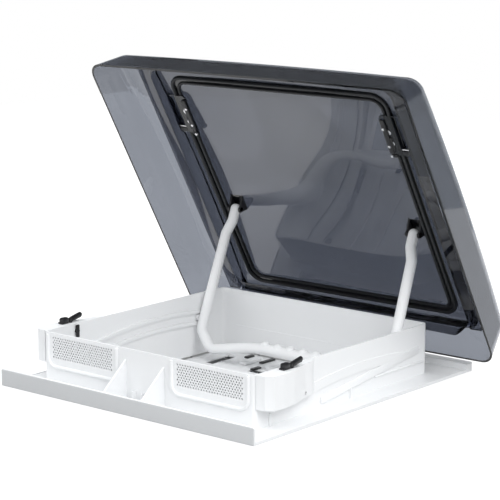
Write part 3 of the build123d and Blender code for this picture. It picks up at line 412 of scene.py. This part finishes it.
def rounded_loop(half, back, front, radius, steps=7):
    """Closed rectangle with round corners, as pairs of x and the distance along the dome."""
    loop = []
    for x, v, start in ((half - radius, front - radius, 0), (radius - half, front - radius, 1),
                        (radius - half, back + radius, 2), (half - radius, back + radius, 3)):
        for step in range(steps + 1):
            turn = (start + step / steps) * pi / 2
            loop.append((x + radius * cos(turn), v + radius * sin(turn)))
    return loop


# Latches: the shaft's place; the collar's bars, by start, rise over the housing and form; and the arm's
# line, by the distance ahead of the shaft and the height. A form ends a bar's row: its half sizes, the
# length of its eased ends and its squareness.
LATCH_X, LATCH_Y, LATCH_Z = 187, -121, 60
UPSTAND_TOP = 70
COLLAR_BARS = ((-18.5, 1.4, ((4.3, 1.4), 1, 4)), (-17, 4.2, ((4.2, 4.0), 2.2, 3.5)))
COLLAR_END = -5
ARM_LINE = ((-0.2, 62), (-0.8, 69.6), (1.2, 73.2), (8, 75), (16, 76.6), (21.6, 77.6))
ARM_STEM_COUNT, ARM_STEM_SIZES = 10, ((3.2, 3.9), (3.2, 3.8))
ARM_BLADE_SIZES = ((3.4, 3.7), (3.9, 2.4))
ARM_TIP_SIZES = [(3.5, 2.1), (2.7, 1.7), (1.3, 0.9)]
SHAFT_INNER, SHAFT_OUTER, SHAFT_FORM = 171.6, 191.8, ((3, 3), 0.8, 2)
HUB_INNER, HUB_OUTER, HUB_FORM = 183.6, 190.4, ((5.4, 5.4), 0.8, 2)
TAB_X, TAB_REACH, TAB_FORM = 173.1, 8.5, ((1.5, 3), 1, 3)


def make_collar(side_name):
    """Foot and cap of a latch's collar on its housing."""
    collar = bmesh.new()
    for start, rise, form in COLLAR_BARS:
        level = UPSTAND_TOP + rise
        row = ((LATCH_X, LATCH_Y + start, level), (LATCH_X, LATCH_Y + COLLAR_END, level), *form)
        bars(collar, [row], SIDES[side_name])
    new_piece(f"latch_collar_{side_name}", collar, "black_plastic", "base", (f"latch_base_{side_name}",))


def make_arm(side_name):
    """Rocker of a latch: a lever outside, a shaft with its hub through the housing and a tab inside."""
    side = SIDES[side_name]
    arm = bmesh.new()
    path = curve([Vector((side * LATCH_X, LATCH_Y + ahead, level)) for ahead, level in ARM_LINE])
    blade_count = len(path) - ARM_STEM_COUNT - len(ARM_TIP_SIZES)
    sizes = even_sizes(*ARM_STEM_SIZES, ARM_STEM_COUNT) + even_sizes(*ARM_BLADE_SIZES, blade_count)
    sweep(arm, path, sizes + ARM_TIP_SIZES, ACROSS)
    shaft = ((SHAFT_INNER, LATCH_Y, LATCH_Z), (SHAFT_OUTER, LATCH_Y, LATCH_Z), *SHAFT_FORM)
    hub = ((HUB_INNER, LATCH_Y, LATCH_Z), (HUB_OUTER, LATCH_Y, LATCH_Z), *HUB_FORM)
    tab = ((TAB_X, LATCH_Y, LATCH_Z - TAB_REACH), (TAB_X, LATCH_Y, LATCH_Z + TAB_REACH), *TAB_FORM)
    bars(arm, [shaft, hub], side)
    bars(arm, [tab], side, up=AHEAD)
    new_piece(f"latch_arm_{side_name}", arm, "black_plastic", f"latch_{side_name}",
              (f"latch_lever_{side_name}",))


for side_name in SIDES:
    make_collar(side_name)
    make_arm(side_name)

# Seal: a bead outside, a smaller one inside and a thin web between, as inset, half sizes and height
SEAL_HALF, SEAL_BACK, SEAL_FRONT, SEAL_CORNER = 184.5, 23, 389.5, 22
SEAL_BEADS = ((4.7, (2.7, 3.4), 54.6), (8, (6.5, 1.4), 57.5), (13, (2.2, 2.6), 55.2))
SEAL_SIDES = 12


def make_seal():
    """Seal that closes on the upstand."""
    seal = bmesh.new()
    for inset, sizes, level in SEAL_BEADS:
        loop = rounded_loop(SEAL_HALF - inset, SEAL_BACK + inset, SEAL_FRONT - inset,
                            SEAL_CORNER - inset / 2)
        sweep(seal, [dome_at(x, v, level) for x, v in loop], sizes, DOME_ABOVE, SEAL_SIDES, closed=True)
    new_piece("seal_beads", seal, "seal_rubber", "dome", ("pane_seal",))


# Dark border of the pane, by the middle line of its band
BORDER_HALF, BORDER_BACK, BORDER_FRONT, BORDER_CORNER = 212, 18, 413, 22
BORDER_LEVEL, BORDER_SIZE = 46.6, (7, 0.6)
BORDER_SIDES, BORDER_SQUARE = 8, 6.0


def make_border():
    """Dark border of the pane, outside its seal."""
    border = bmesh.new()
    loop = rounded_loop(BORDER_HALF, BORDER_BACK, BORDER_FRONT, BORDER_CORNER)
    sweep(border, [dome_at(x, v, BORDER_LEVEL) for x, v in loop], BORDER_SIZE, DOME_ABOVE,
          BORDER_SIDES, BORDER_SQUARE, closed=True)
    new_piece("pane_border", border, "dome_acrylic", "dome", finish="border_acrylic")


make_seal()
make_border()

# Catches: rows of bars, the places of the studs, and the studs' rings as height over the rim and radius
CATCH_ROWS = (
    ((167.4, 297, 50.4), (167.4, 350, 50.4), (3.6, 2.0), 1.8, 4),
    ((169, 302, 51.4), (169, 322, 51.4), (4.6, 1.9), 1.6, 3),
    ((164, 293.4, 52), (174, 293.4, 52), (2.6, 2.4), 1.6, 3),
    ((180.2, 297, 55.2), (180.2, 352, 55.2), (0.7, 3.2), 0.5, 6),
)
STUD_PLACES = ((167.2, 309), (166.6, 336), (166.5, 294))
STUD_RINGS = ((49.2, 2.4), (48.2, 2.3), (47.6, 1.9), (47.3, 1.0))
STUD_SIDES = 16


def make_catch(side_name):
    """Black works on the clear plate of one catch, with bright studs."""
    side = SIDES[side_name]
    works = bmesh.new()
    bars(works, CATCH_ROWS, side, dome_at, DOME_ABOVE)
    new_piece(f"catch_works_{side_name}", works, "black_plastic", "dome")
    studs = bmesh.new()
    for x, v in STUD_PLACES:
        places = [dome_at(side * x, v, level) for level, radius in STUD_RINGS]
        sweep(studs, places, [(radius, radius) for level, radius in STUD_RINGS], ACROSS, STUD_SIDES)
    new_piece(f"catch_studs_{side_name}", studs, "steel", "dome")


for side_name in SIDES:
    make_catch(side_name)

# Bow brackets: the pivot's place, the ears' outline around it and the foot against the pane
PIVOT_X, PIVOT_V, PIVOT_W = 153.5, 163, 51.8
EAR_OUTLINE = ((-4.4, 1), (-3.4, -3.4), (0, -5), (3.4, -3.4), (4.4, 1), (17, 12.6), (-8, 12.6))
EAR_STARTS = (-11.1, 8.1)
EAR_THICKNESS = 3
EAR_SHARP_ANGLE = 30
FOOT_HALF, FOOT_AHEAD, FOOT_LEVEL, FOOT_FORM = 11, 4, 64.2, ((12, 0.9), 0.6, 6)


def plate(mesh_data, outline, thickness):
    """Flat plate from its outline, thickened along a vector."""
    lower = [mesh_data.verts.new(point) for point in outline]
    upper = [mesh_data.verts.new(point + thickness) for point in outline]
    mesh_data.faces.new(lower[::-1])
    mesh_data.faces.new(upper)
    for index in range(len(outline)):
        after = (index + 1) % len(outline)
        mesh_data.faces.new((lower[index], lower[after], upper[after], upper[index]))


def make_bow_ears(side_name):
    """Bracket of the bow on one side: two ears on a thin foot."""
    middle = SIDES[side_name] * PIVOT_X
    bracket = bmesh.new()
    for start in EAR_STARTS:
        outline = [dome_at(middle + start, PIVOT_V + v, PIVOT_W + w) for v, w in EAR_OUTLINE]
        plate(bracket, outline, ACROSS * EAR_THICKNESS)
    foot_v = PIVOT_V + FOOT_AHEAD
    foot = ((middle - FOOT_HALF, foot_v, FOOT_LEVEL), (middle + FOOT_HALF, foot_v, FOOT_LEVEL), *FOOT_FORM)
    bars(bracket, [foot], at=dome_at, up=DOME_ABOVE)
    new_piece(f"bow_ears_{side_name}", bracket, "black_plastic", "dome", (f"bow_bracket_{side_name}",),
              EAR_SHARP_ANGLE)


for side_name in SIDES:
    make_bow_ears(side_name)

# Grey plate over the fascia, painted shade on its front face, and the relief on each side wall
FASCIA_SHADE_ROW = ((-212.3, -221.5, 11), (212.3, -221.5, 11), (0.7, 10.8), 0.6, 9)
RELIEF_ROWS = (
    ((178.3, -52, 12.6), (178.3, 158, 38.6), (1.7, 5.2), 3.4, 4),
    ((178.2, 60, 20.5), (178.2, 168, 20.5), (1.4, 1.5), 1.6, 3),
)


def make_base_relief():
    """Grey plate over the fascia, painted shade that darkens its front face, and a slanted and a level rib on
    each side wall.
    """
    face = bmesh.new()
    bars(face, [FASCIA_SHADE_ROW])
    new_piece("fascia_shade_plate", face, "white_plastic", "base", finish="fascia_painted_shade")
    for side_name, side in SIDES.items():
        relief = bmesh.new()
        bars(relief, RELIEF_ROWS, side)
        new_piece(f"side_relief_{side_name}", relief, "white_plastic", "base")


# Clips on the rear cover, as x, y and half length, and its tabs, as x and y
CLIPS = ((-76, 154, 15), (-62, 112, 9), (-112, 158, 8), (76, 154, 15), (62, 112, 9))
CLIP_LEVEL, CLIP_FORM = -18.6, ((3.4, 1.4), 1.2, 5)
COVER_TABS = ((-92, 136), (-46, 136), (92, 136), (46, 136))
COVER_TAB_LEVEL, COVER_TAB_HALF, COVER_TAB_FORM = -17.6, 18, ((6, 2.6), 2, 4)


def make_cover_details():
    """Dark clips and white tabs on the rear cover."""
    clips = bmesh.new()
    bars(clips, [((x, y - half, CLIP_LEVEL), (x, y + half, CLIP_LEVEL), *CLIP_FORM)
                 for x, y, half in CLIPS])
    new_piece("cover_clips", clips, "black_plastic", "base")
    tabs = bmesh.new()
    bars(tabs, [((x, y - COVER_TAB_HALF, COVER_TAB_LEVEL), (x, y + COVER_TAB_HALF, COVER_TAB_LEVEL),
                 *COVER_TAB_FORM) for x, y in COVER_TABS])
    new_piece("cover_tabs", tabs, "white_plastic", "base")


# Near-black sheet inside the dome's front wall: painted shade that makes the wall read dark
FRONT_SHADE_ROW = ((-219, 424.5, 28), (219, 424.5, 28), (20, 0.5), 0.4, 10)
FRONT_SHADE_LEAN = DOME_ALONG * 0.95 + DOME_ABOVE * 0.3


def make_front_shade_sheet():
    """Dark leaning strip inside the dome's front wall: painted shade seen through the wall."""
    dark_strip = bmesh.new()
    bars(dark_strip, [FRONT_SHADE_ROW], at=dome_at, up=FRONT_SHADE_LEAN)
    new_piece("dome_front_shade_sheet", dark_strip, "dome_acrylic", "dome", finish="dome_front_painted_shade")


# Grilles: a dark sheet of painted shade behind them, seen through their holes, and the rims around them
GRILLE_SHADE_ROW = ((52, -174.6, 50), (163, -174.6, 50), (0.5, 18.6), 0.4, 12)
RIM_NEAR, RIM_FAR, RIM_LOW, RIM_CORNER = 46.5, 168.5, 25.6, 13
RIM_Y, RIM_RADIUS = -178.9, 2.6
RIM_STEPS, RIM_SIDES = 6, 14


def rim_outline():
    """Open outline of a grille's rim, down one side, round both lower corners and up, as x and z."""
    top, corner_z = UPSTAND_TOP - RIM_RADIUS, RIM_LOW + RIM_CORNER
    outline = [(RIM_NEAR, top)]
    for corner_x, start in ((RIM_NEAR + RIM_CORNER, pi), (RIM_FAR - RIM_CORNER, -pi / 2)):
        for step in range(RIM_STEPS + 1):
            turn = start + step / RIM_STEPS * pi / 2
            outline.append((corner_x + RIM_CORNER * cos(turn), corner_z + RIM_CORNER * sin(turn)))
    return outline + [(RIM_FAR, top)]


def make_grille_shade_sheets():
    """Dark sheet behind each grille, in the screen mesh material: painted shade seen through the grille's
    holes.
    """
    for side_name, side in SIDES.items():
        dark_sheet = bmesh.new()
        bars(dark_sheet, [GRILLE_SHADE_ROW], side)
        new_piece(f"grille_shade_sheet_{side_name}", dark_sheet, "screen_mesh", "base")


def make_grille_rims():
    """Round bead around each grille."""
    for side_name, side in SIDES.items():
        rim = bmesh.new()
        places = [Vector((side * x, RIM_Y, z)) for x, z in rim_outline()]
        sweep(rim, places, (RIM_RADIUS, RIM_RADIUS), AHEAD, RIM_SIDES)
        new_piece(f"grille_rim_{side_name}", rim, "white_plastic", "base")


make_base_relief()
make_cover_details()
make_front_shade_sheet()
make_grille_shade_sheets()
make_grille_rims()

# Floor, world and lamps
FLOOR_HALF = 2.5
FLOOR_HOLE = 0.2
FLOOR_LEVEL = -0.0004
FLOOR_COLOUR = (0.3, 0.3, 0.3, 1)
FLOOR_GLOW = 0.82
WHITE = (1, 1, 1, 1)
LIGHT_COLOUR = (0.97, 0.985, 1, 1)
LIGHT_RISE, LIGHT_STRENGTH = (0, 0.9), (0.78, 1.65)
MIRROR_COLOUR = (0.9, 0.95, 1, 1)
MIRROR_RISE, MIRROR_STRENGTH = (0.06, 0.34), (0.6, 0.05)
LAMPS = {
    "key": (Vector((2.2, -0.9, 1.9)), Vector((0, 0, 0.1)), (1.4, 1.4), 30),
    "strip": (Vector((-1.5, 0.2, 1.1)), Vector((0, 0, 0.2)), (0.12, 1.2), 4),
}


def floor_mesh():
    """Square floor with a square opening, as three rows of three faces without the middle one."""
    edges = (-FLOOR_HALF, -FLOOR_HOLE, FLOOR_HOLE, FLOOR_HALF)
    points = [(x, y, FLOOR_LEVEL) for y in edges for x in edges]
    count = len(edges)
    faces = []
    for row in range(count - 1):
        for column in range(count - 1):
            if (row, column) != (1, 1):
                corner = column + count * row
                faces.append((corner, corner + 1, corner + 1 + count, corner + count))
    mesh = bpy.data.meshes.new("floor")
    mesh.from_pydata(points, [], faces)
    return mesh


def floor_material():
    """Matt floor that camera, mirrored and transmitted rays see as an even white with soft shadows."""
    material = bpy.data.materials.new("floor")
    material.use_nodes = True
    nodes, links = material.node_tree.nodes, material.node_tree.links
    nodes.clear()
    output = nodes.new("ShaderNodeOutputMaterial")
    pale = nodes.new("ShaderNodeBsdfDiffuse")
    pale.inputs["Color"].default_value = FLOOR_COLOUR
    glow = nodes.new("ShaderNodeEmission")
    glow.inputs["Strength"].default_value = FLOOR_GLOW
    both = nodes.new("ShaderNodeAddShader")
    links.new(pale.outputs["BSDF"], both.inputs[0])
    links.new(glow.outputs["Emission"], both.inputs[1])
    rays = nodes.new("ShaderNodeLightPath")
    seen = number_math(nodes, links, "MAXIMUM", rays.outputs["Is Camera Ray"], rays.outputs["Is Glossy Ray"])
    seen = number_math(nodes, links, "MAXIMUM", seen, rays.outputs["Is Transmission Ray"])
    surface = mixed(nodes, links, seen, pale.outputs["BSDF"], both.outputs["Shader"])
    links.new(surface, output.inputs["Surface"])
    return material


def make_floor():
    """Pale floor with an opening for the parts that hang below the roof's skin."""
    floor = bpy.data.objects.new("floor", floor_mesh())
    scene.collection.objects.link(floor)
    floor.data.materials.append(floor_material())


def background(nodes, colour):
    """Background of one colour."""
    shade = nodes.new("ShaderNodeBackground")
    shade.inputs["Color"].default_value = colour
    return shade


def make_world():
    """Soft surroundings, brighter overhead as light, dark overhead as mirrored, white where they are seen."""
    world = bpy.data.worlds.new("studio")
    scene.world = world
    world.use_nodes = True
    nodes, links = world.node_tree.nodes, world.node_tree.links
    nodes.clear()
    output = nodes.new("ShaderNodeOutputWorld")
    place = nodes.new("ShaderNodeTexCoord")
    parts = nodes.new("ShaderNodeSeparateXYZ")
    links.new(place.outputs["Generated"], parts.inputs["Vector"])
    height = parts.outputs["Z"]
    light = background(nodes, LIGHT_COLOUR)
    links.new(ranged(nodes, links, height, LIGHT_RISE, LIGHT_STRENGTH, True), light.inputs["Strength"])
    mirrored = background(nodes, MIRROR_COLOUR)
    links.new(ranged(nodes, links, height, MIRROR_RISE, MIRROR_STRENGTH, True), mirrored.inputs["Strength"])
    white = background(nodes, WHITE)
    rays = nodes.new("ShaderNodeLightPath").outputs
    unseen = mixed(nodes, links, rays["Is Glossy Ray"], light.outputs["Background"],
                   mirrored.outputs["Background"])
    seen = number_math(nodes, links, "MAXIMUM", rays["Is Camera Ray"], rays["Is Transmission Ray"])
    links.new(mixed(nodes, links, seen, unseen, white.outputs["Background"]), output.inputs["Surface"])


def make_lamp(name, place, aim, size, power):
    """Soft rectangular lamp that faces a point."""
    data = bpy.data.lights.new(name, "AREA")
    data.shape = "RECTANGLE"
    data.size, data.size_y = size
    data.energy = power
    lamp = bpy.data.objects.new(name, data)
    lamp.location = place
    lamp.rotation_euler = facing(aim - place)
    scene.collection.objects.link(lamp)


make_floor()
make_world()
for lamp_name, lamp_values in LAMPS.items():
    make_lamp(lamp_name, *lamp_values)
